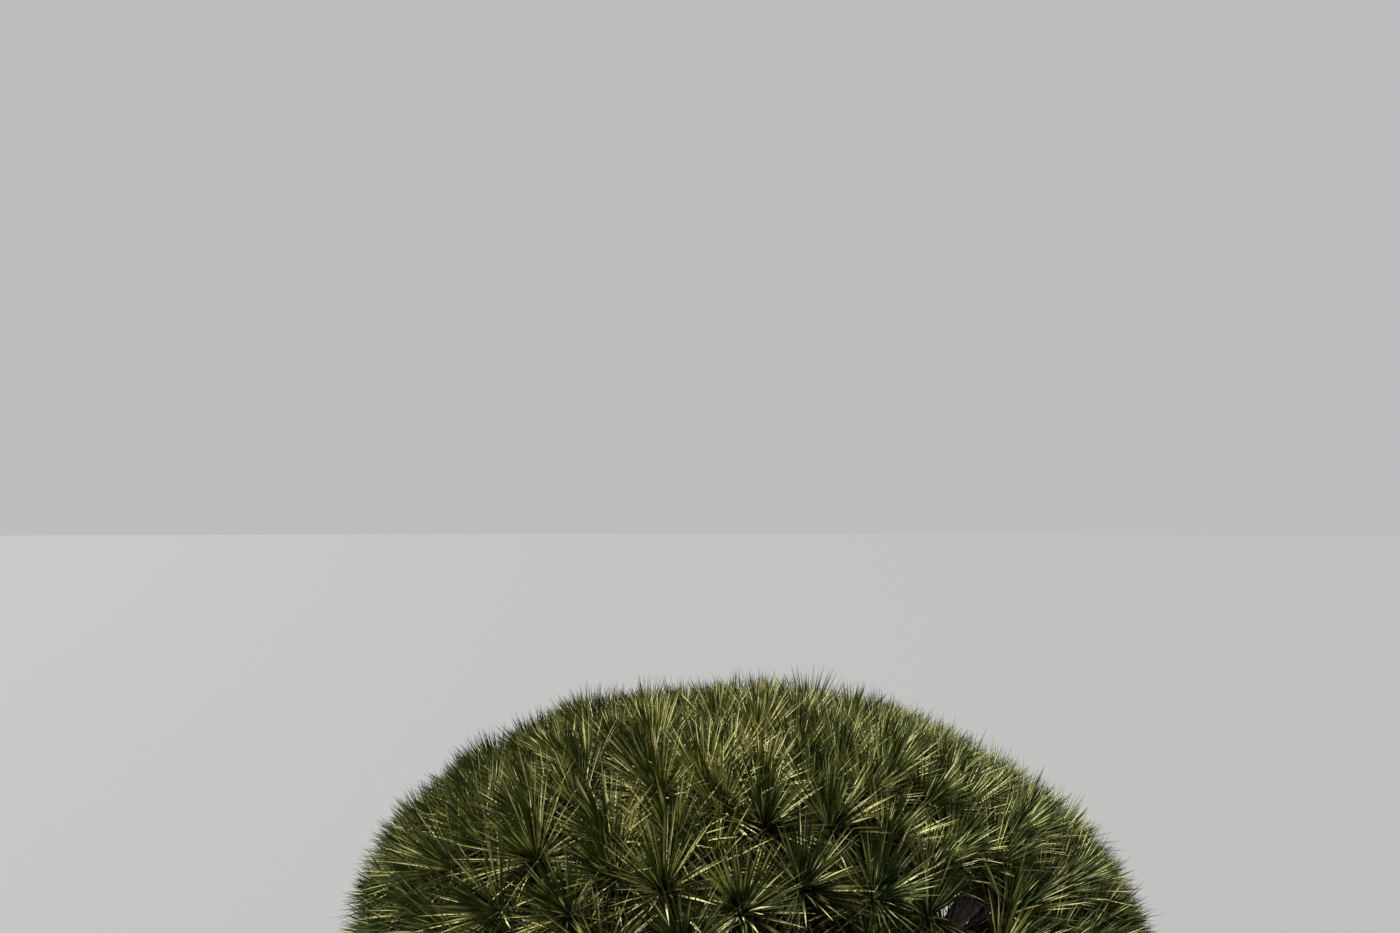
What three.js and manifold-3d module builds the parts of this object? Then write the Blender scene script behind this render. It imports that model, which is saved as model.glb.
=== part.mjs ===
// A dragon blood tree: one stout trunk, boughs that fork upwards like the ribs of an umbrella,
// and a wide, shallow dome of sword-leaf rosettes, modelled as closed masses of foliage.
// Millimetres, +Z up. The origin is the middle of the flat cut where the trunk meets level ground.

import * as THREE from "three";
import { mergeVertices } from "three/addons/utils/BufferGeometryUtils.js";
import Module from "manifold-3d";

const wasm = await Module();
wasm.setup();

// The crown's outline. The two tables run every 45 degrees, from +X towards +Y.
const TREE_HEIGHT = 4700;
const CROWN_REACH = [2610, 2650, 2420, 2680, 2660, 2550, 2250, 2530];
const RIM_HEIGHT = [3040, 3360, 3480, 3640, 3340, 3660, 3700, 3360];
const DOME_FALL = 1.9;
const DOME_SHOULDER = 1.7;
const SKIRT_DEPTH = 330;
const SKIRT_TUCK = 300;
const UNDERSIDE_CURVE = 0.6;
const UNDERSIDE_DROP = 60;
const HUMMOCK_DEPTH = 52;
const HUMMOCK_WAVES = { x: 330, y: 290, slant: 210 };
const HUMMOCK_SHIFT = { x: 363, y: -116 };

// The trunk
const FOOT_RADIUS = 320;
const NECK_RADIUS = 255;
const HEAD_HEIGHT = 1950;
const HEAD_RADIUS = 345;
const HEAD_CROWN = 270;
const HEAD_SWELL_LENGTH = 1000;
const FLARE_SPREAD = 85;
const FLARE_HEIGHT = 230;
const FLARE_LOBES = [
  { count: 5, depth: 34, turn: 0.7 },
  { count: 3, depth: 14, turn: -1.2 },
];
const FLUTE_COUNT = 4;
const FLUTE_DEPTH = 14;
const FLUTE_TWIST_LENGTH = 900;
const TRUNK_LEAN = { x: 45, y: 30 };
const TRUNK_SIDES = 18;
const TRUNK_STEPS = 8;
const TRUNK_STEP_EASE = 1.25;
const HEAD_STEPS = 3;

// The boughs and limbs: each bough forks into one inner limb and two rim limbs
const BOUGH_COUNT = 7;
const BOUGH_LENGTH = 800;
const BOUGH_START = 170;
const BOUGH_BEND = 0.7;
const BOUGH_SAG = 35;
const BOUGH_RISE = THREE.MathUtils.degToRad(41);
const BOUGH_RADII = { start: 160, end: 104 };
const LIMB_RADII = { start: 74, end: 54 };
const TOP_LIMB_RADII = { start: 98, end: 60 };
const LIMB_SHARE = 0.36;
const LIMB_BEND = 0.4;
const LIMB_BOW = 0.16;
const FORK_OFFSET = 58;
const FORK_DEPTH = 30;
const LIMB_SIDES = 8;
const LIMB_STEPS = 3;
const COLLAR_SWELL = 0.14;
const COLLAR_FADE = 6;

// The masses of foliage, by the distance of their middles from the trunk's axis
const INNER_RING = 1120;
const RIM_RING = 2030;
const RIM_SINK = 400;
const RIM_SPLIT = 0.25;
const RING_WANDER = 70;
const AZIMUTH_WANDER = THREE.MathUtils.degToRad(5);
const MASS_SPREAD = THREE.MathUtils.degToRad(41);
const MASS_FOOT_RADIUS = 105;
const MASS_BITE = 280;
const MASS_HEART = 0.56;
const MASS_PARTING = 12;
const MASS_SIDES = 14;
const MASS_RINGS = 9;
const SEARCH_STEP = 60;
const SEARCH_HALVINGS = 18;

// Solids that touch on the tree stand a fraction of a millimetre apart here
const WOOD_GAP = 0.35;
const FOLIAGE_GAP = 0.8;
const SEED = 20417;

const barkGrey = new THREE.MeshStandardMaterial({ color: 0x6f6a63, roughness: 0.92, metalness: 0 });
const barkBrown = new THREE.MeshStandardMaterial({ color: 0x6b5a4e, roughness: 0.9, metalness: 0 });
const leafGreen = new THREE.MeshStandardMaterial({ color: 0x5c6a2e, roughness: 0.62, metalness: 0 });

const upright = new THREE.Vector3(0, 0, 1);
const trunkHead = new THREE.Vector3(TRUNK_LEAN.x, TRUNK_LEAN.y, HEAD_HEIGHT);

// A repeatable source of numbers from 0 to 1
function randomFrom(seed) {
  let state = seed;
  return () => {
    state = (Math.imul(state, 1664525) + 1013904223) >>> 0;
    return state / 2 ** 32;
  };
}
const random = randomFrom(SEED);
const wander = (amount) => (random() * 2 - 1) * amount;

// A table's value at an azimuth, eased between its entries
function around(table, azimuth) {
  const turn = THREE.MathUtils.euclideanModulo(azimuth / (2 * Math.PI), 1) * table.length;
  const here = Math.floor(turn) % table.length;
  const share = THREE.MathUtils.smoothstep(turn - Math.floor(turn), 0, 1);
  return THREE.MathUtils.lerp(table[here], table[(here + 1) % table.length], share);
}

// Height of the leaf tips over a point of the plan
function domeHeight(radius, azimuth) {
  const rim = around(RIM_HEIGHT, azimuth);
  const share = Math.min(radius / around(CROWN_REACH, azimuth), 1);
  return rim + (TREE_HEIGHT - rim) * (1 - share ** DOME_FALL) ** (1 / DOME_SHOULDER);
}

// Height of the crown's underside, which opens like an upturned bowl from the trunk's head
function undersideHeight(radius, azimuth) {
  const outer = around(CROWN_REACH, azimuth) - SKIRT_TUCK;
  const share = THREE.MathUtils.clamp((radius - HEAD_RADIUS) / (outer - HEAD_RADIUS), 0, 1);
  const low = HEAD_HEIGHT + UNDERSIDE_DROP;
  return low + (around(RIM_HEIGHT, azimuth) - SKIRT_DEPTH - low) * share ** UNDERSIDE_CURVE;
}

// Depth of the shallow dips between the crown's hummocks
function dip(x, y) {
  const across = Math.sin((x + HUMMOCK_SHIFT.x) / HUMMOCK_WAVES.x);
  const along = Math.cos((y + HUMMOCK_SHIFT.y) / HUMMOCK_WAVES.y);
  const wave = across * along - Math.sin((x + y) / HUMMOCK_WAVES.slant);
  return HUMMOCK_DEPTH * (0.5 - wave / 4);
}

// Whether a point lies in the crown: under the dome, above the underside, within the rim's skirt
function insideCrown(p) {
  const radius = Math.hypot(p.x, p.y);
  const azimuth = Math.atan2(p.y, p.x);
  const rim = around(RIM_HEIGHT, azimuth);
  const reach = around(CROWN_REACH, azimuth);
  const depth = dip(p.x, p.y);
  if (p.z >= rim) return radius < reach && p.z <= domeHeight(radius, azimuth) - depth;
  const below = Math.min((rim - p.z) / SKIRT_DEPTH, 1);
  const skirt = reach - SKIRT_TUCK * below ** 2 - depth / 2;
  return radius <= skirt && p.z >= undersideHeight(radius, azimuth) + depth / 2;
}

// A solid from a closed three.js geometry
function solidOf(geometry) {
  const bare = geometry.clone();
  bare.deleteAttribute("normal");
  bare.deleteAttribute("uv");
  const merged = mergeVertices(bare, 1e-3);
  const corners = merged.index.array;
  const kept = [];
  for (let i = 0; i < corners.length; i += 3) {
    const [a, b, c] = corners.slice(i, i + 3);
    if (a !== b && b !== c && c !== a) kept.push(a, b, c);
  }
  return new wasm.Manifold(
    new wasm.Mesh({
      numProp: 3,
      vertProperties: new Float32Array(merged.attributes.position.array),
      triVerts: new Uint32Array(kept),
    }),
  );
}

function geometryOf(solid) {
  const mesh = solid.getMesh();
  const places = new Float32Array(mesh.vertProperties);
  const geometry = new THREE.BufferGeometry();
  geometry.setAttribute("position", new THREE.BufferAttribute(places, 3));
  geometry.setIndex(new THREE.BufferAttribute(new Uint32Array(mesh.triVerts), 1));
  geometry.computeVertexNormals();
  return geometry;
}

// What is left of a solid outside the others, without the crumbs that a cut can leave
function trimmed(solid, cutters) {
  const rest = cutters.reduce((left, cutter) => left.subtract(cutter), solid);
  const bodies = rest.decompose();
  return bodies.reduce((largest, body) => (body.volume() > largest.volume() ? body : largest));
}

// The trunk's mean radius: a taper, the flare at its root and the swell of its head
function trunkRadius(z) {
  const taper = THREE.MathUtils.lerp(FOOT_RADIUS, NECK_RADIUS, z / HEAD_HEIGHT);
  const flare = FLARE_SPREAD * Math.exp(-z / FLARE_HEIGHT);
  const swell = THREE.MathUtils.smoothstep(z, HEAD_HEIGHT - HEAD_SWELL_LENGTH, HEAD_HEIGHT);
  return THREE.MathUtils.lerp(taper + flare, HEAD_RADIUS, swell);
}

// The trunk, turned from its profile, then leaned, fluted and given the lobes of its root flare
function trunkSolid(grow) {
  const profile = [new THREE.Vector2(0, -grow)];
  for (let step = 0; step <= TRUNK_STEPS; step++) {
    const z = HEAD_HEIGHT * (step / TRUNK_STEPS) ** TRUNK_STEP_EASE;
    profile.push(new THREE.Vector2(trunkRadius(z) + grow, step ? z : -grow));
  }
  for (let step = 1; step <= HEAD_STEPS; step++) {
    const turn = (Math.PI / 2) * (step / HEAD_STEPS);
    const radius = step < HEAD_STEPS ? (HEAD_RADIUS + grow) * Math.cos(turn) : 0;
    profile.push(new THREE.Vector2(radius, HEAD_HEIGHT + (HEAD_CROWN + grow) * Math.sin(turn)));
  }
  const geometry = new THREE.LatheGeometry(profile, TRUNK_SIDES).rotateX(Math.PI / 2);
  const place = geometry.attributes.position;
  const point = new THREE.Vector3();
  for (let i = 0; i < place.count; i++) {
    point.fromBufferAttribute(place, i);
    const azimuth = Math.atan2(point.y, point.x);
    const fade = Math.exp(-Math.max(point.z, 0) / FLARE_HEIGHT);
    let relief = FLUTE_DEPTH * Math.sin(FLUTE_COUNT * azimuth + point.z / FLUTE_TWIST_LENGTH);
    for (const { count, depth, turn } of FLARE_LOBES) {
      relief += depth * fade * Math.cos(count * azimuth + turn);
    }
    const scale = 1 + relief / HEAD_RADIUS;
    const lean = THREE.MathUtils.smoothstep(point.z, 0, HEAD_HEIGHT);
    place.setX(i, point.x * scale + TRUNK_LEAN.x * lean);
    place.setY(i, point.y * scale + TRUNK_LEAN.y * lean);
  }
  return solidOf(geometry);
}

// One tapering limb along a curve, with the swollen collar that a branch has at its fork
function limbSolid(curve, radii, grow) {
  const geometry = new THREE.CylinderGeometry(1, 1, 1, LIMB_SIDES, LIMB_STEPS);
  const frames = curve.computeFrenetFrames(LIMB_STEPS, false);
  const place = geometry.attributes.position;
  for (let i = 0; i < place.count; i++) {
    const share = place.getY(i) + 0.5;
    const station = Math.round(share * LIMB_STEPS);
    const collar = 1 + COLLAR_SWELL * Math.exp(-share * COLLAR_FADE);
    const radius = THREE.MathUtils.lerp(radii.start, radii.end, share) * collar + grow;
    const point = curve
      .getPointAt(share)
      .addScaledVector(frames.tangents[station], (share * 2 - 1) * grow)
      .addScaledVector(frames.normals[station], place.getX(i) * radius)
      .addScaledVector(frames.binormals[station], -place.getZ(i) * radius);
    place.setXYZ(i, point.x, point.y, point.z);
  }
  return solidOf(geometry);
}

// Whether a point belongs to a mass: in the cone that opens from the end of its limb, on its own
// side of the planes that part it from its neighbours, and within the crown
function insideMass(p, mass, masses) {
  const fromFoot = p.clone().sub(mass.foot);
  const along = fromFoot.dot(mass.axis);
  const aside = Math.sqrt(Math.max(fromFoot.lengthSq() - along ** 2, 0));
  if (along < 0 || aside > MASS_FOOT_RADIUS + along * Math.tan(MASS_SPREAD)) return false;
  const fromHead = p.clone().sub(trunkHead);
  const own = fromHead.dot(mass.ray);
  for (const other of masses) {
    if (other === mass) continue;
    const parting = (MASS_PARTING / 2) * mass.ray.distanceTo(other.ray);
    if (own - fromHead.dot(other.ray) < parting) return false;
  }
  return insideCrown(p);
}

// One mass of foliage, a ball drawn out from its heart to the bounds above in every direction
function massSolid(mass, masses, grow) {
  const heart = mass.foot.clone().lerp(mass.crown, MASS_HEART);
  const geometry = new THREE.SphereGeometry(1, MASS_SIDES, MASS_RINGS);
  const turn = new THREE.Quaternion().setFromUnitVectors(new THREE.Vector3(0, 1, 0), mass.grain);
  const place = geometry.attributes.position;
  for (let i = 0; i < place.count; i++) {
    const direction = new THREE.Vector3().fromBufferAttribute(place, i).applyQuaternion(turn);
    const pointAt = (length) => heart.clone().addScaledVector(direction, length);
    let near = 0;
    while (insideMass(pointAt(near + SEARCH_STEP), mass, masses)) near += SEARCH_STEP;
    let far = near + SEARCH_STEP;
    for (let halving = 0; halving < SEARCH_HALVINGS; halving++) {
      const middle = (near + far) / 2;
      if (insideMass(pointAt(middle), mass, masses)) near = middle;
      else far = middle;
    }
    const point = pointAt(near + grow);
    place.setXYZ(i, point.x, point.y, point.z);
  }
  return solidOf(geometry);
}

// The skeleton: where each bough forks, and where each limb ends and its mass begins
function crownPoint(ring, azimuth, sink) {
  const height = domeHeight(ring, azimuth) - sink;
  return new THREE.Vector3(ring * Math.cos(azimuth), ring * Math.sin(azimuth), height);
}

function massOn(name, fork, lead, crown) {
  const axis = crown.clone().sub(fork).normalize();
  const foot = fork.clone().lerp(crown, LIMB_SHARE);
  const ray = crown.clone().sub(trunkHead).normalize();
  const level = new THREE.Vector3(-lead.y, lead.x, 0);
  const grain = lead.equals(upright) ? new THREE.Vector3(1, 0, 0) : level.normalize();
  grain.applyAxisAngle(axis, wander(Math.PI));
  return { name, fork, lead, crown, axis, foot, ray, grain };
}

const boughs = [];
const masses = [];
for (let n = 1; n <= BOUGH_COUNT; n++) {
  const azimuth = ((n - 1) / BOUGH_COUNT) * 2 * Math.PI + wander(AZIMUTH_WANDER);
  const rise = BOUGH_RISE + wander(AZIMUTH_WANDER);
  const lead = new THREE.Vector3(Math.cos(azimuth), Math.sin(azimuth), Math.tan(rise)).normalize();
  const fork = trunkHead.clone().addScaledVector(lead, BOUGH_LENGTH);
  boughs.push({ name: `bough_${n}`, lead, fork });
  const inner = crownPoint(INNER_RING + wander(RING_WANDER), azimuth, 0);
  masses.push(massOn(`inner_${n}`, fork, lead, inner));
  const split = (2 * Math.PI * RIM_SPLIT) / BOUGH_COUNT;
  for (const [side, turn] of [["right", -split], ["left", split]]) {
    const bearing = azimuth + turn + wander(AZIMUTH_WANDER / 2);
    const crown = crownPoint(RIM_RING + wander(RING_WANDER), bearing, RIM_SINK);
    masses.push(massOn(`rim_${n}_${side}`, fork, lead, crown));
  }
}
const headTop = trunkHead.clone().addScaledVector(upright, HEAD_CROWN);
const top = massOn("top", headTop, upright, crownPoint(0, 0, 0));
masses.push(top);

// The whole tree
const tree = new THREE.Group();
tree.name = "dragon_blood_tree";

function addNode(name, solid, material) {
  const mesh = new THREE.Mesh(geometryOf(solid), material);
  mesh.name = name;
  tree.add(mesh);
}

const massCutters = [];
for (const mass of masses) {
  addNode(`foliage_${mass.name}`, massSolid(mass, masses, 0), leafGreen);
  massCutters.push(massSolid(mass, masses, FOLIAGE_GAP));
}

addNode("trunk", trunkSolid(0), barkGrey);
const woodCutters = [trunkSolid(WOOD_GAP)];

for (const bough of boughs) {
  const start = trunkHead.clone().addScaledVector(bough.lead, BOUGH_START);
  const bend = trunkHead.clone().lerp(bough.fork, BOUGH_BEND).addScaledVector(upright, -BOUGH_SAG);
  const curve = new THREE.QuadraticBezierCurve3(start, bend, bough.fork);
  addNode(bough.name, trimmed(limbSolid(curve, BOUGH_RADII, 0), woodCutters), barkBrown);
  woodCutters.push(limbSolid(curve, BOUGH_RADII, WOOD_GAP));
}

for (const mass of masses) {
  const radii = mass === top ? TOP_LIMB_RADII : LIMB_RADII;
  const start = mass.fork.clone().addScaledVector(mass.lead, -FORK_DEPTH);
  const aside = mass.axis.clone().addScaledVector(mass.lead, -mass.axis.dot(mass.lead));
  if (mass !== top) start.addScaledVector(aside.normalize(), FORK_OFFSET);
  const bow = mass.foot.distanceTo(mass.fork) * LIMB_BOW;
  const bend = mass.fork.clone().lerp(mass.foot, LIMB_BEND).addScaledVector(mass.lead, bow);
  const end = mass.foot.clone().addScaledVector(mass.axis, MASS_BITE);
  const curve = new THREE.QuadraticBezierCurve3(start, bend, end);
  const solid = trimmed(limbSolid(curve, radii, 0), [...woodCutters, ...massCutters]);
  addNode(`limb_${mass.name}`, solid, barkBrown);
  woodCutters.push(limbSolid(curve, radii, WOOD_GAP));
}

export default tree;
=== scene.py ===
"""A dragon blood tree in leaf: a stout trunk, boughs that fork upwards again and again, and a
wide, shallow dome of stiff sword-leaf rosettes. Metres, +Z up, with the origin at ground level."""

import math

import bmesh
import bpy
import numpy as np
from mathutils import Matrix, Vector, noise
from mathutils.bvhtree import BVHTree
from mathutils.geometry import interpolate_bezier
from mathutils.kdtree import KDTree


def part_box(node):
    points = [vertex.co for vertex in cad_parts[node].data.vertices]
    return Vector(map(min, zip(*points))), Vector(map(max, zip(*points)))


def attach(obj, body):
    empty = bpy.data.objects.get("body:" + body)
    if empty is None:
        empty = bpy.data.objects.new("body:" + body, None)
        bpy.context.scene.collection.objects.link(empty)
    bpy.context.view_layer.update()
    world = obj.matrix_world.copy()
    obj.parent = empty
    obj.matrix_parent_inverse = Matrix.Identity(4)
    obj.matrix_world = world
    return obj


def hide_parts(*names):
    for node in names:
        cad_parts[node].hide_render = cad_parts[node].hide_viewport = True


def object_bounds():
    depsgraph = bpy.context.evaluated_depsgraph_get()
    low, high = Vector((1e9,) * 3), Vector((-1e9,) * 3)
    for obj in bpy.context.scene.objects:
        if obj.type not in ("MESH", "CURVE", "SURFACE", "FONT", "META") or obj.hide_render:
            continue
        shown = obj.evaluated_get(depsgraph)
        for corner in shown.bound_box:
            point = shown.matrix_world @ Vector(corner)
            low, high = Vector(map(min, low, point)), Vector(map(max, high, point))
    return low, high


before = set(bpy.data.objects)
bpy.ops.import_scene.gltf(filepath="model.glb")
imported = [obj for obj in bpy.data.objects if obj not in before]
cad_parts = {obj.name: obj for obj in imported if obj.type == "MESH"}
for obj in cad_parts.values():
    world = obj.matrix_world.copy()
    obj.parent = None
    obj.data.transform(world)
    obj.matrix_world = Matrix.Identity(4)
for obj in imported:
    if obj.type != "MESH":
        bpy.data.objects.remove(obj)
cad_box = [list(corner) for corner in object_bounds()]
SEED = 3771
chance = np.random.default_rng(SEED)
noise.seed_set(SEED)

# Camera
# The photograph looks out over the crown from just above it, so the crown fills the lower
# middle of the picture and runs out of it at the bottom edge.
IMAGE_WIDTH, IMAGE_HEIGHT = 1400, 933
HORIZON_ROW = 525
CAMERA_PLACE = Vector((-0.344, -7.5, 5.77))
LENS = 28.0
SENSOR = 36.0
CAMERA_REACH = 1500.0

pixels_per_slope = LENS / SENSOR * IMAGE_WIDTH
pitch = math.atan((HORIZON_ROW - IMAGE_HEIGHT / 2) / pixels_per_slope)
camera = bpy.data.objects.new("camera", bpy.data.cameras.new("camera"))
camera.data.lens = LENS
camera.data.sensor_width = SENSOR
camera.data.clip_end = CAMERA_REACH
camera.location = CAMERA_PLACE
camera.rotation_euler = (math.pi / 2 + pitch, 0.0, 0.0)
bpy.context.scene.collection.objects.link(camera)
bpy.context.scene.camera = camera

# Trunk and boughs
# A stout column of light, fibrous wood, flared at its foot, that parts into seven boughs like the
# ribs of an umbrella. It is all one growth, under grey bark that is cracked lengthwise.
TRUNK_TURNS = 96
TRUNK_STEP = 0.03
BELOW_CUT = 0.06
ABOVE_CUT = 0.001
HEAD_DEPTH = 0.27
HEAD_STEPS = 8
ROUND_SMOOTHINGS = 14
LENGTH_SMOOTHINGS = 20
BOUGH_SLICES = (0.68, 0.8, 0.92)
LIMB_SLICES = (0.3, 0.55, 0.8, 0.94)
STRETCH_POINTS = 13
ROOT_GIRTH = 1.04
END_OVERRUN = 0.4
ROUNDING_TURNS = (0.4, 0.8, 1.15, 1.45)
BOUGH_BURIED = 0.1
BOUGH_COLLAR = 0.35
COLLAR_FADE = 5.0
TOP_FORK_DEPTH = 0.06
FORK_KNOB = 0.15
KNOB_FADE = 9.0
STUB_SHARE = 0.24
STUB_GIRTHS = (1.3, 0.97)
WOOD_SIDES = 20
WOOD_VOXEL = 0.012
SEAM_REACH = 1e-5
CROTCH_REACH = 0.68
CROTCH_FLOOR = 0.3
FORK_REACH = 0.2
CROTCH_SMOOTHINGS = 70
TRUNK_EDGE = 0.09
FISSURE_PITCH = 15.0
FISSURE_STRETCH = 0.16
FISSURE_WIDTH = 0.1
FISSURE_DEPTH = 0.012
WAVER_PITCH = 3.0
WAVER_REACH = 0.3
FINE_PITCH = 2.9
FINE_WIDTH = 0.2
FINE_DEPTH = 0.004
FINE_SHOWN = 0.45
LUMP_PITCH = 3.2
LUMP_DEPTH = 0.012
GRAIN_PITCH = 38.0
GRAIN_DEPTH = 0.0022
GRAIN_FALL = 0.9
GRAIN_STEP = 2.1
GRAIN_OCTAVES = 3
BOUGH_FINENESS = 1.4
BOUGH_SHIFT = 5.3
CRACK_DARKNESS = 0.6


def shell_of(names):
    """A search tree over the faces of CAD nodes, and the node that each face comes from"""
    corners, faces, owners = [], [], []
    for name in names:
        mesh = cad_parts[name].data
        first = len(corners)
        corners += [vertex.co.copy() for vertex in mesh.vertices]
        faces += [[first + corner for corner in face.vertices] for face in mesh.polygons]
        owners += [name] * len(mesh.polygons)
    return BVHTree.FromPolygons(corners, faces), owners


def eased(share):
    """A share of a way from 0 to 1, slow at both of its ends"""
    return share * share * (3 - 2 * share)


def ray(azimuth, rise):
    """The direction at an azimuth, raised above the level by an angle"""
    level = math.cos(rise)
    return Vector((math.cos(azimuth) * level, math.sin(azimuth) * level, math.sin(rise)))


def slices(name, start, shares):
    """Middles and radii of a CAD limb where planes cut across it, from near its start to its end"""
    work = bmesh.new()
    work.from_mesh(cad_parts[name].data)
    far = max((vertex.co.copy() for vertex in work.verts), key=lambda corner: (corner - start).length)
    middles, radii = [], []
    for share in shares:
        everything = work.verts[:] + work.edges[:] + work.faces[:]
        place = start.lerp(far, share)
        cut = bmesh.ops.bisect_plane(work, geom=everything, plane_co=place, plane_no=far - start)
        ring = [item.co for item in cut["geom_cut"] if isinstance(item, bmesh.types.BMVert)]
        middle = sum(ring, Vector()) / len(ring)
        middles.append(middle)
        radii.append(sum((corner - middle).length for corner in ring) / len(ring))
    work.free()
    return middles, radii


def knobbed(radii, shares):
    """Radii along a limb, with its swellings at the two forks that it joins"""
    return radii * (1 + FORK_KNOB * (np.exp(-shares * KNOB_FADE) + np.exp((shares - 1) * KNOB_FADE)))


def limb_path(name, start, shares):
    """A CAD limb's path from its start, passed smoothly through its slices"""
    middles, radii = slices(name, start, shares)
    knots = [start, *middles]
    knots.append(middles[-1] + (middles[-1] - middles[-2]) * END_OVERRUN)
    girths = [radii[0] * ROOT_GIRTH, *radii, radii[-1]]
    ends = [knots[0] * 2 - knots[1], *knots, knots[-1] * 2 - knots[-2]]
    places, thickness = [], []
    for piece in range(len(knots) - 1):
        before, near, far, after = ends[piece : piece + 4]
        handles = near + (far - before) / 6, far - (after - near) / 6
        steps = interpolate_bezier(near, *handles, far, STRETCH_POINTS)
        share = np.linspace(0, 1, len(steps))
        keep = slice(0, None if piece == len(knots) - 2 else -1)
        places += steps[keep]
        thickness += list((girths[piece] + (girths[piece + 1] - girths[piece]) * share)[keep])
    return places, knobbed(np.array(thickness), np.linspace(0, 1, len(places)))


def rounded_end(places, radii):
    """Closes a path of places and radii with a round end"""
    follow = (places[-1] - places[-2]).normalized()
    places, radii, last = list(places), list(radii), radii[-1]
    end = places[-1]
    for turn in ROUNDING_TURNS:
        places.append(end + follow * last * math.sin(turn))
        radii.append(last * math.cos(turn))
    return places, radii


def round_limbs(name, paths, sides):
    """One mesh of round, tapering limbs, each along its own path of places and radii"""
    curve = bpy.data.curves.new(name, "CURVE")
    curve.dimensions = "3D"
    curve.bevel_depth = 1.0
    curve.bevel_resolution = sides // 2 - 2
    for places, radii in paths:
        spline = curve.splines.new("POLY")
        spline.points.add(len(places) - 1)
        for point, place, radius in zip(spline.points, places, radii):
            point.co = (*place, 1.0)
            point.radius = radius
    holder = bpy.data.objects.new(name, curve)
    bpy.context.scene.collection.objects.link(holder)
    mesh = bpy.data.meshes.new_from_object(holder)
    bpy.data.objects.remove(holder)
    return mesh


def close_ends(mesh):
    """Closes the open ends of a mesh of limbs"""
    work = bmesh.new()
    work.from_mesh(mesh)
    bmesh.ops.holes_fill(work, edges=[edge for edge in work.edges if edge.is_boundary])
    bmesh.ops.recalc_face_normals(work, faces=work.faces)
    work.to_mesh(mesh)
    work.free()


def modified(mesh, kind, group=None, **settings):
    """A mesh as one modifier leaves it"""
    holder = bpy.data.objects.new("holder", mesh)
    bpy.context.scene.collection.objects.link(holder)
    modifier = holder.modifiers.new("shape", kind)
    for setting, value in settings.items():
        setattr(modifier, setting, value)
    if group is not None:
        chosen = holder.vertex_groups.new(name="chosen")
        chosen.add(group, 1.0, "REPLACE")
        modifier.vertex_group = "chosen"
    depsgraph = bpy.context.evaluated_depsgraph_get()
    shaped = bpy.data.meshes.new_from_object(holder.evaluated_get(depsgraph))
    bpy.data.objects.remove(holder)
    return shaped


def bark_relief(place, fineness):
    """How far bark lies below its skin at a place on an upright stem, and how much of it is crack"""
    waver = noise.noise_vector(place * (WAVER_PITCH * fineness)) * WAVER_REACH
    drawn = Vector((place.x, place.y, place.z * FISSURE_STRETCH)) * (FISSURE_PITCH * fineness) + waver
    crack = math.exp(-((noise.noise(drawn) / FISSURE_WIDTH) ** 2))
    fine = math.exp(-((noise.noise(drawn * FINE_PITCH) / FINE_WIDTH) ** 2))
    lump = noise.noise(place * (LUMP_PITCH * fineness))
    grain = noise.fractal(place * (GRAIN_PITCH * fineness), GRAIN_FALL, GRAIN_STEP, GRAIN_OCTAVES)
    depth = FISSURE_DEPTH * crack + FINE_DEPTH * fine + LUMP_DEPTH * lump + GRAIN_DEPTH * grain
    return depth / fineness, min(crack + FINE_SHOWN * fine, 1.0)


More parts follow.
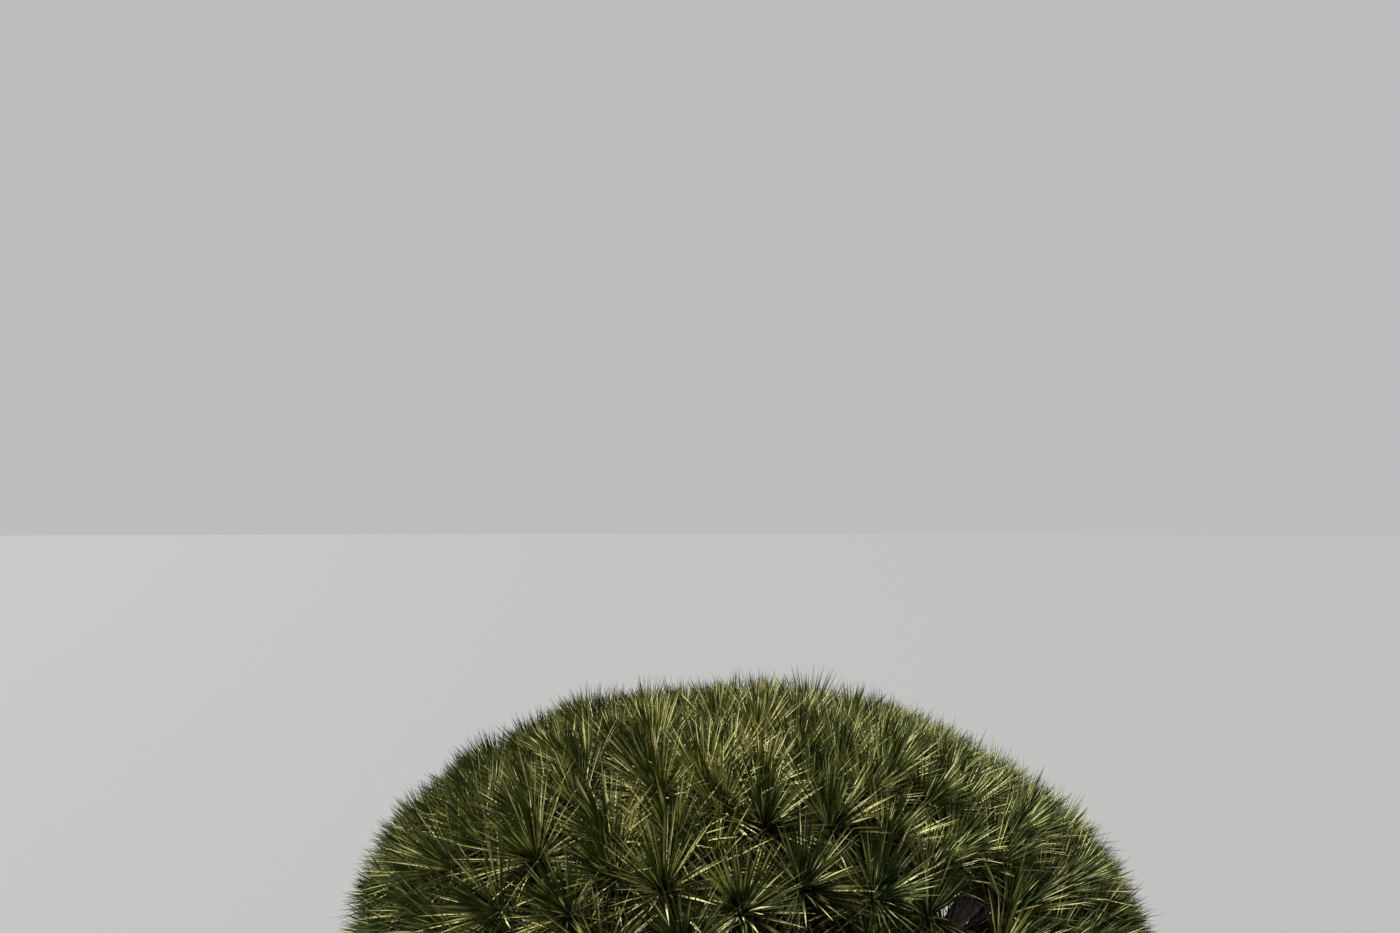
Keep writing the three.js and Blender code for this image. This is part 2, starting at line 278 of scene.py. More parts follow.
def bark_material(name, deep, plain, pale, grain_scale):
    """Weathered bark: dark in its cracks, with pale dry patches and fine lengthwise grain"""
    made = bpy.data.materials.new(name)
    made.use_nodes = True
    nodes, links = made.node_tree.nodes, made.node_tree.links
    shader = nodes["Principled BSDF"]
    shader.inputs["Specular IOR Level"].default_value = 0.25
    place = nodes.new("ShaderNodeTexCoord")
    stretch = nodes.new("ShaderNodeMapping")
    stretch.inputs["Scale"].default_value = (1.0, 1.0, 0.3)
    patches = nodes.new("ShaderNodeTexNoise")
    patches.inputs["Scale"].default_value = 5.5
    patches.inputs["Detail"].default_value = 8.0
    patches.inputs["Roughness"].default_value = 0.65
    tones = nodes.new("ShaderNodeValToRGB")
    tones.color_ramp.elements[0].position = 0.36
    tones.color_ramp.elements[0].color = (*plain, 1.0)
    tones.color_ramp.elements[1].position = 0.66
    tones.color_ramp.elements[1].color = (*pale, 1.0)
    grain = nodes.new("ShaderNodeTexNoise")
    grain.inputs["Scale"].default_value = grain_scale
    grain.inputs["Detail"].default_value = 6.0
    grain.inputs["Roughness"].default_value = 0.7
    streaks = nodes.new("ShaderNodeMix")
    streaks.data_type = "RGBA"
    streaks.blend_type = "MULTIPLY"
    streaks.inputs["Factor"].default_value = 0.55
    depth = nodes.new("ShaderNodeAttribute")
    depth.attribute_name = "crack"
    shallow = nodes.new("ShaderNodeMapRange")
    shallow.inputs["To Max"].default_value = CRACK_DARKNESS
    hollows = nodes.new("ShaderNodeMix")
    hollows.data_type = "RGBA"
    hollows.inputs["B"].default_value = (*deep, 1.0)
    rough = nodes.new("ShaderNodeMapRange")
    rough.inputs["To Min"].default_value = 0.78
    rough.inputs["To Max"].default_value = 0.95
    bump = nodes.new("ShaderNodeBump")
    bump.inputs["Strength"].default_value = 0.55
    bump.inputs["Distance"].default_value = 0.004
    links.new(place.outputs["Object"], stretch.inputs["Vector"])
    links.new(stretch.outputs["Vector"], patches.inputs["Vector"])
    links.new(stretch.outputs["Vector"], grain.inputs["Vector"])
    links.new(patches.outputs["Fac"], tones.inputs["Fac"])
    links.new(tones.outputs["Color"], streaks.inputs["A"])
    links.new(grain.outputs["Fac"], streaks.inputs["B"])
    links.new(streaks.outputs["Result"], hollows.inputs["A"])
    links.new(depth.outputs["Fac"], shallow.inputs["Value"])
    links.new(shallow.outputs["Result"], hollows.inputs["Factor"])
    links.new(hollows.outputs["Result"], shader.inputs["Base Color"])
    links.new(grain.outputs["Fac"], rough.inputs["Value"])
    links.new(rough.outputs["Result"], shader.inputs["Roughness"])
    links.new(grain.outputs["Fac"], bump.inputs["Height"])
    links.new(bump.outputs["Normal"], shader.inputs["Normal"])
    return made


def place_piece(name, mesh, material, slot, *nodes):
    """Shows a finished mesh as a piece that stands for CAD nodes"""
    piece = bpy.data.objects.new(name, mesh)
    bpy.context.scene.collection.objects.link(piece)
    mesh.materials.append(material)
    mesh.shade_smooth()
    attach(piece, "root")
    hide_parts(*nodes)
    return piece


trunk_corners = [vertex.co.copy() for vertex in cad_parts["trunk"].data.vertices]
trunk_top = max(trunk_corners, key=lambda corner: corner.z)
head = trunk_top - Vector((0, 0, HEAD_DEPTH))
trunk_stations = []
for height in np.arange(-BELOW_CUT, head.z, TRUNK_STEP):
    lean = eased(max(height, 0.0) / head.z)
    trunk_stations.append((Vector((head.x * lean, head.y * lean, height)), 0.0))
for step in range(HEAD_STEPS + 1):
    trunk_stations.append((head, math.pi / 2 * step / HEAD_STEPS))

trunk_shell, _ = shell_of(["trunk"])
trunk_reach = np.zeros((len(trunk_stations), TRUNK_TURNS))
for row, (middle, rise) in enumerate(trunk_stations):
    start = Vector((middle.x, middle.y, max(middle.z, ABOVE_CUT)))
    for column in range(TRUNK_TURNS):
        out = ray(column / TRUNK_TURNS * math.tau, rise)
        trunk_reach[row, column] = trunk_shell.ray_cast(start, out)[3]
for _ in range(ROUND_SMOOTHINGS):
    trunk_reach = (np.roll(trunk_reach, 1, 1) + 2 * trunk_reach + np.roll(trunk_reach, -1, 1)) / 4
for _ in range(LENGTH_SMOOTHINGS):
    trunk_reach[1:-1] = (trunk_reach[:-2] + 2 * trunk_reach[1:-1] + trunk_reach[2:]) / 4

node_names = sorted(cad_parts)
bough_names = [name for name in node_names if name.startswith("bough_")]
limb_names = [name for name in node_names if name.startswith("limb_")]
bough_paths, forks = {}, {}
for name in bough_names:
    low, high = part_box(name)
    away = ((low + high) / 2 - head).normalized()
    places, radii = limb_path(name, head + away * BOUGH_BURIED, BOUGH_SLICES)
    radii = radii * (1 + BOUGH_COLLAR * np.exp(-COLLAR_FADE * np.linspace(0, 1, len(radii))))
    number = name.split("_")[1]
    bough_paths[number] = (places, radii)
    forks[number] = places[-1]
forks["top"] = trunk_top - Vector((0, 0, TOP_FORK_DEPTH))
limb_paths = {}
for name in limb_names:
    number = next(part for part in name.split("_") if part in forks)
    limb_paths[name] = limb_path(name, forks[number], LIMB_SLICES)

wood_paths = [rounded_end(*path) for path in bough_paths.values()]
for places, radii in limb_paths.values():
    last = int(len(places) * STUB_SHARE)
    wood_paths.append(rounded_end(places[:last], radii[:last] * np.linspace(*STUB_GIRTHS, last)))

work = bmesh.new()
rows = len(trunk_stations) - 1
bmesh.ops.create_grid(work, x_segments=TRUNK_TURNS, y_segments=rows, size=1.0)
for vertex in work.verts:
    column = round((vertex.co.x + 1) / 2 * TRUNK_TURNS) % TRUNK_TURNS
    row = round((vertex.co.y + 1) / 2 * rows)
    middle, rise = trunk_stations[row]
    vertex.co = middle + ray(column / TRUNK_TURNS * math.tau, rise) * trunk_reach[row, column]
bmesh.ops.remove_doubles(work, verts=work.verts, dist=SEAM_REACH)
bmesh.ops.holes_fill(work, edges=[edge for edge in work.edges if edge.is_boundary])
bmesh.ops.recalc_face_normals(work, faces=work.faces)
column_tree = BVHTree.FromBMesh(work)
rib_mesh = round_limbs("ribs", wood_paths, WOOD_SIDES)
close_ends(rib_mesh)
work.from_mesh(rib_mesh)
wood_mesh = bpy.data.meshes.new("wood")
work.to_mesh(wood_mesh)
work.free()
wood_mesh = modified(wood_mesh, "REMESH", mode="VOXEL", voxel_size=WOOD_VOXEL)


def in_crotch(place):
    """Whether a place lies where limbs part, where the wood is filled out between them"""
    if (place - head).length < CROTCH_REACH and place.z > head.z - CROTCH_FLOOR:
        return True
    return any((place - fork).length < FORK_REACH for fork in forks.values())


crotches = [vertex.index for vertex in wood_mesh.vertices if in_crotch(vertex.co)]
wood_mesh = modified(wood_mesh, "SMOOTH", crotches, factor=0.5, iterations=CROTCH_SMOOTHINGS)

rib_points = []
for number, (places, radii) in enumerate(wood_paths):
    run = BOUGH_SHIFT * number
    for station, place in enumerate(places):
        run += (place - places[station - 1]).length if station else 0
        follow = places[min(station + 1, len(places) - 1)] - places[max(station - 1, 0)]
        rib_points.append((place, follow.normalized(), run))
rib_tree = KDTree(len(rib_points))
for index, (place, _, _) in enumerate(rib_points):
    rib_tree.insert(place, index)
rib_tree.balance()

cracks = wood_mesh.attributes.new("crack", "FLOAT", "POINT")
sunk = []
for vertex in wood_mesh.vertices:
    depth, crack = bark_relief(vertex.co, 1.0)
    share = min(column_tree.find_nearest(vertex.co)[3] / TRUNK_EDGE, 1.0)
    if share > 0:
        place, follow, run = rib_points[rib_tree.find(vertex.co)[1]]
        side = follow.cross(Vector((0, 0, 1))).normalized()
        offset = vertex.co - place
        spot = Vector((offset.dot(side), offset.dot(follow.cross(side)), run + offset.dot(follow)))
        rib_depth, rib_crack = bark_relief(spot, BOUGH_FINENESS)
        depth += (rib_depth - depth) * share
        crack += (rib_crack - crack) * share
    cracks.data[vertex.index].value = crack
    sunk.append(vertex.co - vertex.normal * depth)
for vertex, place in zip(wood_mesh.vertices, sunk):
    vertex.co = place
work = bmesh.new()
work.from_mesh(wood_mesh)
everything = work.verts[:] + work.edges[:] + work.faces[:]
bmesh.ops.bisect_plane(work, geom=everything, plane_co=(0, 0, 0), plane_no=(0, 0, -1), clear_outer=True)
bmesh.ops.holes_fill(work, edges=[edge for edge in work.edges if edge.is_boundary])
bmesh.ops.recalc_face_normals(work, faces=work.faces)
work.to_mesh(wood_mesh)
work.free()
trunk_bark = bark_material(
    "grey_trunk_bark",
    deep=(0.085, 0.078, 0.076),
    plain=(0.24, 0.228, 0.222),
    pale=(0.48, 0.465, 0.455),
    grain_scale=34.0,
)
place_piece("trunk_bark", wood_mesh, trunk_bark, "trunk_bark", "trunk", *bough_names)

# Limbs
# Three limbs go on from each bough's fork, and one from the trunk's own tip. They are round and
# slow to taper, a little swollen at each fork, with browner and finer bark.
LIMB_SIDES = 24
LIMB_FINENESS = 2.1
LIMB_SHIFT = 0.37


def crack_bark(mesh, paths, sides, fineness):
    """Sinks the bark's cracks into a mesh of limbs, along each limb, and notes where they are"""
    cracks = mesh.attributes.new("crack", "FLOAT", "POINT")
    spots = []
    for number, (places, radii) in enumerate(paths):
        run = LIMB_SHIFT * number
        for station, (place, radius) in enumerate(zip(places, radii)):
            run += (place - places[station - 1]).length if station else 0
            for side in range(sides):
                angle = side / sides * math.tau
                spots.append(Vector((math.cos(angle) * radius, math.sin(angle) * radius, run)))
    sunk = []
    for vertex, spot in zip(mesh.vertices, spots, strict=True):
        depth, cracks.data[vertex.index].value = bark_relief(spot, fineness)
        sunk.append(vertex.co - vertex.normal * depth)
    for vertex, place in zip(mesh.vertices, sunk):
        vertex.co = place


limb_ribs = [rounded_end(*path) for path in limb_paths.values()]
limb_mesh = round_limbs("limb_bark", limb_ribs, LIMB_SIDES)
crack_bark(limb_mesh, limb_ribs, LIMB_SIDES, LIMB_FINENESS)
close_ends(limb_mesh)
limb_bark = bark_material(
    "brown_limb_bark",
    deep=(0.075, 0.058, 0.05),
    plain=(0.24, 0.19, 0.165),
    pale=(0.48, 0.43, 0.40),
    grain_scale=60.0,
)
place_piece("limb_bark", limb_mesh, limb_bark, "branch_bark", *limb_names)

# Places of the rosettes
# A rosette stands at the end of every twig, so close to its neighbours that their leaves mesh, and
# its leaf tips reach the outside of the masses of foliage. A second layer closes the crown in the
# shade under the first. Both leave gaps where the photograph shows the wood.
ROSETTE_LAYERS = ((0.0, 0.252), (0.15, 0.212))
ROSETTE_TRIES = 14000
CROWN_INSET = 0.365
RIM_MARGIN = math.radians(1.5)
LEAN_SHARE = 1.08
AXIS_WANDER = 0.07
OUTSIDE = 6.0
OUTLINE_COLUMNS = 72
OUTLINE_ROWS = 40
OUTLINE_SMOOTHINGS = 2
RIM_SMOOTHINGS = 3
SHORTEST_REACH = 1.5
LOWEST_ROW = math.radians(8)
NEAR_ROSETTES = (
    (431, 911), (496, 908), (569, 915), (536, 827), (607, 845), (524, 874), (664, 801), (720, 813),
    (763, 825), (665, 891), (741, 913), (799, 893), (848, 886), (873, 896), (678, 842), (726, 851),
    (882, 846), (953, 854), (1011, 911), (1040, 899), (1091, 921), (1018, 825),
)
HEART_HEIGHT = 0.05
NEAR_GAPS = ((972, 908, 0.15), (648, 945, 0.13), (737, 960, 0.1), (838, 950, 0.14))
GAP_DEPTH = 0.9
GAP_LAYER = 0.45
GAP_MARGIN = 1.3

foliage_names = [name for name in node_names if name.startswith("foliage_")]
crown_shell, crown_owners = shell_of(foliage_names)
rises = np.linspace(LOWEST_ROW, math.pi / 2, OUTLINE_ROWS)
turns = np.arange(OUTLINE_COLUMNS) * math.tau / OUTLINE_COLUMNS
crown_reach = np.zeros((OUTLINE_ROWS, OUTLINE_COLUMNS))
for row, rise in enumerate(rises):
    for column, turn in enumerate(turns):
        out = ray(turn, rise)
        hit = crown_shell.ray_cast(head + out * OUTSIDE, -out)
        crown_reach[row, column] = OUTSIDE - (hit[3] or OUTSIDE)
crown_reach = np.max([np.roll(crown_reach, shift, 1) for shift in (-1, 0, 1)], axis=0)
level_reach = crown_reach * np.cos(rises)[:, None]
rim_rise, rim_reach = rises[level_reach.argmax(0)], level_reach.max(0)
for row in range(OUTLINE_ROWS - 2, -1, -1):
    bare = crown_reach[row] < SHORTEST_REACH
    crown_reach[row, bare] = crown_reach[row + 1, bare]
for _ in range(OUTLINE_SMOOTHINGS):
    crown_reach = (np.roll(crown_reach, 1, 1) + 2 * crown_reach + np.roll(crown_reach, -1, 1)) / 4
for _ in range(RIM_SMOOTHINGS):
    rim_rise = (np.roll(rim_rise, 1) + 2 * rim_rise + np.roll(rim_rise, -1)) / 4


def crown_skin(azimuth, rise):
    """The point of the crown's outside in a direction from the trunk's head"""
    column = azimuth / math.tau * OUTLINE_COLUMNS
    row = (rise - rises[0]) / (rises[1] - rises[0])
    left, low = math.floor(column), min(max(math.floor(row), 0), OUTLINE_ROWS - 2)
    across, over = column - left, row - low
    pick = crown_reach[low : low + 2, [left % OUTLINE_COLUMNS, (left + 1) % OUTLINE_COLUMNS]]
    reach = (pick[0] * (1 - over) + pick[1] * over) @ (1 - across, across)
    return head + ray(azimuth, rise) * reach


def picture_place(place):
    """Where a place shows in the photograph, in its pixels"""
    away = place - CAMERA_PLACE
    depth = away.y * math.cos(pitch) + away.z * math.sin(pitch)
    height = away.z * math.cos(pitch) - away.y * math.sin(pitch)
    across, down = away.x / depth * pixels_per_slope, height / depth * pixels_per_slope
    return Vector((IMAGE_WIDTH / 2 + across, IMAGE_HEIGHT / 2 - down))


sites = []
while len(sites) < ROSETTE_TRIES:
    azimuth = chance.uniform(0, math.tau)
    column = round(azimuth / math.tau * OUTLINE_COLUMNS) % OUTLINE_COLUMNS
    rise = math.asin(chance.uniform(0, 1))
    if rise < rim_rise[column] - RIM_MARGIN:
        continue
    skin = crown_skin(azimuth, rise)
    lean = LEAN_SHARE * (skin - head).angle(Vector((0, 0, 1)))
    axis = ray(azimuth, math.pi / 2 - lean)
    axis = (axis + Vector(chance.normal(0, AXIS_WANDER, 3))).normalized()
    base = skin - axis * CROWN_INSET
    room = rim_reach[column] - CROWN_INSET
    level = base.xy - head.xy
    if level.length > room:
        base.xy = head.xy + level.normalized() * room
    sites.append((base, axis, skin, picture_place(base + axis * HEART_HEIGHT)))
near_sites = [site for site in sites if site[1].dot(CAMERA_PLACE - site[0]) > 0]


def shown_at(pixel):
    """The place for a rosette on the near side of the crown that shows nearest to a pixel"""
    return min(near_sites, key=lambda site: (site[3] - Vector(pixel)).length)


first_sites = [shown_at(pixel) for pixel in NEAR_ROSETTES]
gaps = [(np.array(shown_at((across, down))[0]), radius) for across, down, radius in NEAR_GAPS]


def over_gap(places, roots, share=1.0):
    """Which places, on growth that is rooted in front of a gap or just inside it, would cover it"""
    covered = np.zeros(places.shape[:-1], bool)
    for centre, radius in gaps:
        sight = centre - np.array(CAMERA_PLACE)
        sight /= np.linalg.norm(sight)
        along = (places - centre) @ sight
        aside = np.linalg.norm(places - centre - along[..., None] * sight, axis=-1)
        nearer = (roots - centre) @ sight < GAP_LAYER
        covered |= (aside < radius * share) & (abs(along) < GAP_DEPTH) & nearer
    return covered


rosettes = []
for depth, spacing in ROSETTE_LAYERS:
    for site, axis, skin, _ in first_sites + sites:
        base = site - axis * depth
        if any((base - Vector(centre)).length < radius * GAP_MARGIN for centre, radius in gaps):
            continue
        if over_gap(np.array(base), np.array(base)):
            continue
        if all((base - other[0]).length > spacing for other in rosettes):
            owner = crown_owners[crown_shell.find_nearest(skin)[2]]
            rosettes.append((base, axis, owner, depth > 0))

# Twigs
# Beyond and above the limbs the wood goes on forking, two or three ways at a time, in bowed
# stretches like fingers, until every rosette has a twig of its own. A stretch that carries many
# rosettes is thicker and forks a little sooner. The bark is thin and finely cracked.
TWIG_RADIUS = 0.024
GIRTH_POWER = 0.34
TWIG_TAPER = (1.06, 0.94)
TWIG_SIDES = 10
TWIG_STEPS = 8
TWIG_BEND = 0.38
TWIG_WANDER = 0.16
TWIG_FINENESS = 4.5
SHOOT_SHARES = (0.18, 0.34, 0.5, 0.66, 0.83, 1.0)
BOUGH_SHOOTS = (0.45, 0.65, 0.85)
GROUPING_ROUNDS = 8
FORK_SHARES = {1: 1.0, 2: 0.4, 3: 0.42, 4: 0.4, 5: 0.38, 6: 0.36}
FULL_FORK_SHARE = 0.34
THREE_WAY_FORK = 6
FORK_WANDER = 0.025
FORK_TURN = 0.35
LEAD_SHARE = 0.6
TIP_TURN = 0.9
TIP_LIFT = 0.05


def parted(tips, count):
    """Parts tips into groups that lie together"""
    places = np.array([tip[0] for tip in tips])
    seeds = [places[0]]
    while len(seeds) < count:
        away = np.min([np.linalg.norm(places - seed, axis=1) for seed in seeds], axis=0)
        seeds.append(places[away.argmax()])
    for _ in range(GROUPING_ROUNDS):
        nearest = np.argmin([np.linalg.norm(places - seed, axis=1) for seed in seeds], axis=0)
        seeds = [places[nearest == group].mean(0) for group in range(count) if (nearest == group).any()]
    return [[tip for tip, mine in zip(tips, nearest) if mine == group] for group in set(nearest)]


def stalk(start, lead, end, follow, thick, thin):
    """A bowed twig that leaves its fork along one direction and arrives along another"""
    reach = (end - start).length * TWIG_BEND
    near = start + (lead + Vector(chance.normal(0, TWIG_WANDER, 3))) * reach
    far = end - (follow + Vector(chance.normal(0, TWIG_WANDER, 3))) * reach
    places = interpolate_bezier(start, near, far, end, TWIG_STEPS)
    shares = np.linspace(0, 1, TWIG_STEPS)
    return rounded_end(places, knobbed(thick + (thin - thick) * shares, shares))


def fork_out(start, lead, tips, paths, count):
    """Forks the wood from one place towards all the rosettes that it carries"""
    for group in parted(tips, count):
        middle = sum((tip[0] for tip in group), Vector()) / len(group)
        axis = sum((tip[1] for tip in group), Vector()).normalized()
        end = start.lerp(middle, FORK_SHARES.get(len(group), FULL_FORK_SHARE))
        if len(group) > 1:
            end = end + Vector(chance.uniform(-FORK_WANDER, FORK_WANDER, 3))
            turn = FORK_TURN
        else:
            end = end + axis * TIP_LIFT
            turn = TIP_TURN
        away = (end - start).normalized()
        follow = (away + axis * turn).normalized()
        leaving = (lead * LEAD_SHARE + away).normalized()
        thick, thin = TWIG_RADIUS * len(group) ** GIRTH_POWER * np.array(TWIG_TAPER)
        paths.append(stalk(start, leaving, end, follow, thick, thin))
        if len(group) > 1:
            fork_out(end, follow, group, paths, 2 if len(group) < THREE_WAY_FORK else 3)


def starts_on(path, shares):
    """Places on a limb where shoots leave it, with the directions that it runs in there"""
    places = path[0]
    picks = [max(round(share * (len(places) - 1)), 1) for share in shares]
    return [(places[pick], (places[pick] - places[pick - 1]).normalized()) for pick in picks]


def detour(spot, middle):
    """How far a shoot's start lies from its rosettes, and more if it has to turn back to them"""
    start, lead = spot
    return (start - middle).length + lead.dot(start - middle)


twig_paths = []
for name, path in limb_paths.items():
    mass_name = name.replace("limb_", "foliage_")
    tips = [(base, axis) for base, axis, owner, _ in rosettes if owner == mass_name]
    starts = starts_on(path, SHOOT_SHARES)
    if "inner" in name:
        starts = starts_on(bough_paths[name.split("_")[-1]], BOUGH_SHOOTS) + starts
    for group in parted(tips, min(len(starts), len(tips))):
        middle = sum((tip[0] for tip in group), Vector()) / len(group)
        start, lead = min(starts, key=lambda spot: detour(spot, middle))
        starts.remove((start, lead))
        fork_out(start, lead, group, twig_paths, 1)
twig_mesh = round_limbs("twig_bark", twig_paths, TWIG_SIDES)
crack_bark(twig_mesh, twig_paths, TWIG_SIDES, TWIG_FINENESS)
close_ends(twig_mesh)
twig_bark = bark_material(
    "fine_twig_bark",
    deep=(0.07, 0.05, 0.04),
    plain=(0.27, 0.20, 0.16),
    pale=(0.52, 0.45, 0.40),
    grain_scale=75.0,
)
place_piece("twig_bark", twig_mesh, twig_bark, "branch_bark", *foliage_names)

# Leaves
# Each rosette is a tight tuft of stiff, channelled blades, as long as a forearm, that clasp the
# twig's tip in a spiral. Young ones stand upright and green, old ones spread, and a few wither.
# Pale blades, dealt out at random and more often on rosettes that face upwards, are a painted
# highlight with painted top light; the inner layer's blades are near-black painted shade.
LEAVES = 270
LEAF_LENGTH = 0.41
LEAF_WIDTH = 0.0102
LEAF_CHANNEL = 0.36
LEAF_STATIONS = ((0.0, 1.1), (0.62, 0.95), (1.0, 0.0))
LEAF_ROUGHNESS = 0.46
LEAF_GLINT = 0.15
GOLDEN_TURN = math.pi * (3 - math.sqrt(5))
TURN_WANDER = 0.35
AGE_WANDER = 0.03
SHAFT_LENGTH = 0.085
SHAFT_RADIUS = 0.017
YOUNG_SPREAD = math.radians(4)
OLD_SPREAD = math.radians(104)
SPREAD_POWER = 1.2
SPREAD_WANDER = math.radians(4.5)
YOUNG_LENGTH = 0.6
GROWN_AGE = 0.42
LENGTH_WANDER = 0.07
SIZE_WANDER = 0.06
LEAF_ARCH = 0.02
LEAF_DROOP = 0.06
TIP_ALLOWANCE = 0.11
STEEPEST_HANG = 0.72
RAGGED_EDGE = (0.4, 1.15)
# Painted highlight: a blade whose random tone passes PALE_TONE is painted pale, and the tone is raised on
# rosettes that face upwards beyond PLAIN_FACING, as painted top light.
ROSETTE_TONE = 0.2
PALE_TONE = 0.65
PALE_AGE = 0.12
TOP_PAINTED_LIGHT = 0.4
PLAIN_FACING = 0.74
HEART_END = 0.2
UPRIGHT_END = 0.38
LEANING_END = 0.62
# Blades of the inner layer older than SHADED_AGE are painted near-black, as painted shade.
SHADED_AGE = 0.53
DRY_AGE = 0.9
DRY_SHARE = 0.12


def leaf_blade():
    """One blade of unit length and width: a channelled strip that runs out to a point"""
    blade = bmesh.new()
    strips = len(LEAF_STATIONS) - 1
    bmesh.ops.create_grid(blade, x_segments=2, y_segments=strips, size=1.0)
    for vertex in blade.verts:
        share, width = LEAF_STATIONS[round((vertex.co.y + 1) / 2 * strips)]
        edge = vertex.co.x
        vertex.co = (edge * width / 2, share, abs(edge) * width * LEAF_CHANNEL)
    bmesh.ops.remove_doubles(blade, verts=blade.verts, dist=SEAM_REACH)
    bmesh.ops.triangulate(blade, faces=blade.faces)
    points = np.array([vertex.co for vertex in blade.verts])
    faces = np.array([[vertex.index for vertex in face.verts] for face in blade.faces])
    blade.free()
    return points, faces


def leaf_material(name, colour, shade):
    """A waxy blade of one plain colour, with a faint mottle down to a darker shade of it"""
    made = bpy.data.materials.new(name)
    made.use_nodes = True
    nodes, links = made.node_tree.nodes, made.node_tree.links
    shader = nodes["Principled BSDF"]
    shader.inputs["Roughness"].default_value = LEAF_ROUGHNESS
    shader.inputs["Specular IOR Level"].default_value = LEAF_GLINT
    place = nodes.new("ShaderNodeTexCoord")
    mottle = nodes.new("ShaderNodeTexNoise")
    mottle.inputs["Scale"].default_value = 9.0
    mottle.inputs["Detail"].default_value = 4.0
    tones = nodes.new("ShaderNodeValToRGB")
    tones.color_ramp.elements[0].position = 0.35
    tones.color_ramp.elements[0].color = (*[part * shade for part in colour], 1.0)
    tones.color_ramp.elements[1].position = 0.65
    tones.color_ramp.elements[1].color = (*colour, 1.0)
    links.new(place.outputs["Object"], mottle.inputs["Vector"])
    links.new(mottle.outputs["Fac"], tones.inputs["Fac"])
    links.new(tones.outputs["Color"], shader.inputs["Base Color"])
    return made


count = len(rosettes)
bases = np.array([base for base, _, _, _ in rosettes])[:, None, :]
axes = np.array([axis for _, axis, _, _ in rosettes])[:, None, :]
shaded = np.array([deep for _, _, _, deep in rosettes])[:, None]
sides = np.cross(axes, chance.normal(size=(count, 1, 3)))
sides /= np.linalg.norm(sides, axis=2, keepdims=True)
others = np.cross(axes, sides)
age = (np.arange(LEAVES) + 0.5) / LEAVES + chance.uniform(-AGE_WANDER, AGE_WANDER, (count, LEAVES))
age = np.clip(age, 0, 1)[..., None]
turn = np.arange(LEAVES) * GOLDEN_TURN + chance.uniform(-TURN_WANDER, TURN_WANDER, (count, LEAVES))
turn = turn[..., None]
opened = age**SPREAD_POWER
opened = (opened + eased(opened)) / 2
spread = YOUNG_SPREAD + (OLD_SPREAD - YOUNG_SPREAD) * opened
spread = spread + chance.normal(0, SPREAD_WANDER, (count, LEAVES, 1))
outward = sides * np.cos(turn) + others * np.sin(turn)
along = axes * np.cos(spread) + outward * np.sin(spread)
upper = axes * np.sin(spread) - outward * np.cos(spread)
across = np.cross(along, upper)
roots = bases + axes * SHAFT_LENGTH * (1 - age) + outward * SHAFT_RADIUS
length = LEAF_LENGTH * (YOUNG_LENGTH + (1 - YOUNG_LENGTH) * np.minimum(age / GROWN_AGE, 1))
length = length * chance.normal(1, LENGTH_WANDER, (count, LEAVES, 1))
length = length * chance.normal(1, SIZE_WANDER, (count, 1, 1))
level = np.linalg.norm(along[..., :2], axis=2, keepdims=True)
bend = -upper * LEAF_ARCH + np.array([0, 0, -1.0]) * LEAF_DROOP * age * level
lowest, highest = np.array(cad_box[0]) - TIP_ALLOWANCE, np.array(cad_box[1]) + TIP_ALLOWANCE
run = along + bend
with np.errstate(divide="ignore"):
    room = np.where(run > 0, (highest - roots) / run, (lowest - roots) / run)
length = np.minimum(length, room.min(axis=2, keepdims=True))
ragged = chance.uniform(*RAGGED_EDGE, (count, LEAVES))
clear = run[..., 2] > -STEEPEST_HANG
for share in (1, 0.5):
    clear &= ~over_gap(roots + run * length * share, bases, ragged)

blade_points, blade_faces = leaf_blade()


def leaf_mesh(name, picked):
    """One mesh of all the picked leaves, drawn from the one blade"""
    growth = (roots, along, upper, across, length, bend)
    root, out, top, side, reach, sag = [array[picked][:, None, :] for array in growth]
    x, y, z = blade_points[:, 0:1], blade_points[:, 1:2], blade_points[:, 2:3]
    points = root + out * reach * y + side * LEAF_WIDTH * x + top * LEAF_WIDTH * z + sag * reach * y**2
    faces = blade_faces[None] + np.arange(len(points))[:, None, None] * len(blade_points)
    mesh = bpy.data.meshes.new(name)
    mesh.from_pydata(points.reshape(-1, 3), [], faces.reshape(-1, 3))
    return mesh


tone = chance.uniform(0, 1, (count, LEAVES)) * (1 - ROSETTE_TONE)
tone = tone + chance.uniform(0, 1, (count, 1)) * ROSETTE_TONE
years = age[..., 0]
dry = (years > DRY_AGE) & (chance.uniform(0, 1, (count, LEAVES)) < DRY_SHARE)
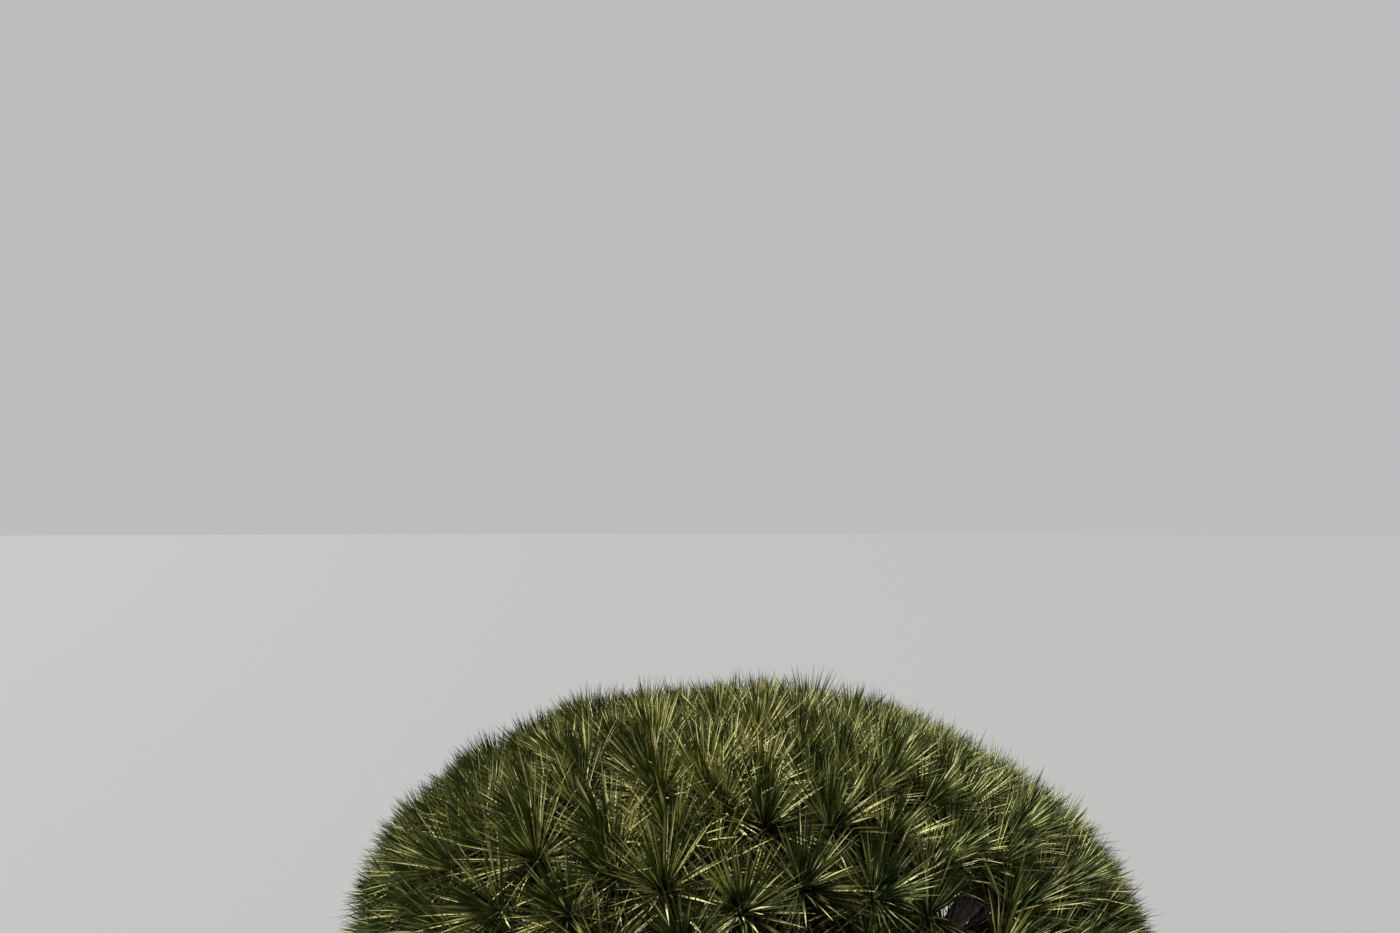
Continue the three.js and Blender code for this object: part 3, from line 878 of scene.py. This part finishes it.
# Painted highlight: pale blades stand in for sunlight on them, more of them on rosettes that face upwards
# as painted top light.
light = (tone + TOP_PAINTED_LIGHT * (axes[..., 2] - PLAIN_FACING) >= PALE_TONE) & (years >= PALE_AGE)
pale, plain = ~shaded & ~dry & light, ~shaded & ~dry & ~light
kinds = {
    "leaves_heart": ((0.080, 0.114, 0.034), 0.78, plain & (years < HEART_END)),
    "leaves_upright": ((0.098, 0.124, 0.032), 0.78, plain & (years >= HEART_END) & (years < UPRIGHT_END)),
    "leaves_leaning": ((0.086, 0.098, 0.025), 0.78, plain & (years >= UPRIGHT_END) & (years < LEANING_END)),
    "leaves_spreading": ((0.074, 0.074, 0.020), 0.78, plain & (years >= LEANING_END)),
    # painted highlight: blades painted pale as if sunlit
    "leaves_pale": ((0.595, 0.575, 0.245), 0.82, pale),
    # painted shade: the inner layer's older blades painted near-black
    "leaves_shaded": ((0.02, 0.017, 0.0075), 0.75, shaded & (years > SHADED_AGE) & ~dry),
    "leaves_dry": ((0.40, 0.29, 0.125), 0.65, dry),
}
for name, (colour, shade, picked) in kinds.items():
    mesh = leaf_mesh(name, picked & clear)
    place_piece(name, mesh, leaf_material(name, colour, shade), "foliage", *foliage_names)
    mesh.shade_flat()

# Floor and light
# A plain pale floor that runs out to the horizon, and one high, soft light from the left and a
# little behind. The sky lights the tree only weakly, so its shade stays deep: what shows behind it
# is a paler backdrop, and the floor glows faintly so that its shadow isn't black.
FLOOR_RADIUS = 700.0
FLOOR_SIDES = 96
FLOOR_GLOW = 0.03
SKY_LIGHT = 0.07
SUN_STRENGTH = 9.0
SUN_WIDTH = math.radians(5)
SUN_RISE = math.radians(58)
SUN_AZIMUTH = math.radians(167)

floor_work = bmesh.new()
bmesh.ops.create_circle(floor_work, cap_ends=True, radius=FLOOR_RADIUS, segments=FLOOR_SIDES)
floor_mesh = bpy.data.meshes.new("floor")
floor_work.to_mesh(floor_mesh)
floor_work.free()
floor = bpy.data.objects.new("floor", floor_mesh)
bpy.context.scene.collection.objects.link(floor)
floor_paint = bpy.data.materials.new("pale_floor")
floor_paint.use_nodes = True
floor_shader = floor_paint.node_tree.nodes["Principled BSDF"]
floor_shader.inputs["Base Color"].default_value = (0.19, 0.19, 0.187, 1)
floor_shader.inputs["Roughness"].default_value = 0.9
floor_shader.inputs["Emission Color"].default_value = (1.0, 1.0, 0.98, 1)
floor_shader.inputs["Emission Strength"].default_value = FLOOR_GLOW
floor_mesh.materials.append(floor_paint)

world = bpy.data.worlds.new("pale_sky")
world.use_nodes = True
sky_nodes, sky_links = world.node_tree.nodes, world.node_tree.links
sky_light = sky_nodes["Background"]
sky_light.inputs["Color"].default_value = (0.82, 0.85, 0.88, 1)
sky_light.inputs["Strength"].default_value = SKY_LIGHT
backdrop = sky_nodes.new("ShaderNodeBackground")
backdrop.inputs["Color"].default_value = (0.50, 0.51, 0.52, 1)
seen = sky_nodes.new("ShaderNodeLightPath")
either = sky_nodes.new("ShaderNodeMixShader")
sky_links.new(seen.outputs["Is Camera Ray"], either.inputs["Fac"])
sky_links.new(sky_light.outputs["Background"], either.inputs[1])
sky_links.new(backdrop.outputs["Background"], either.inputs[2])
sky_links.new(either.outputs["Shader"], sky_nodes["World Output"].inputs["Surface"])
bpy.context.scene.world = world

sun = bpy.data.objects.new("high_light", bpy.data.lights.new("high_light", "SUN"))
sun.data.energy = SUN_STRENGTH
sun.data.angle = SUN_WIDTH
sun.rotation_euler = ray(SUN_AZIMUTH, SUN_RISE).to_track_quat("Z", "Y").to_euler()
bpy.context.scene.collection.objects.link(sun)

bpy.context.scene.view_settings.view_transform = "Standard"
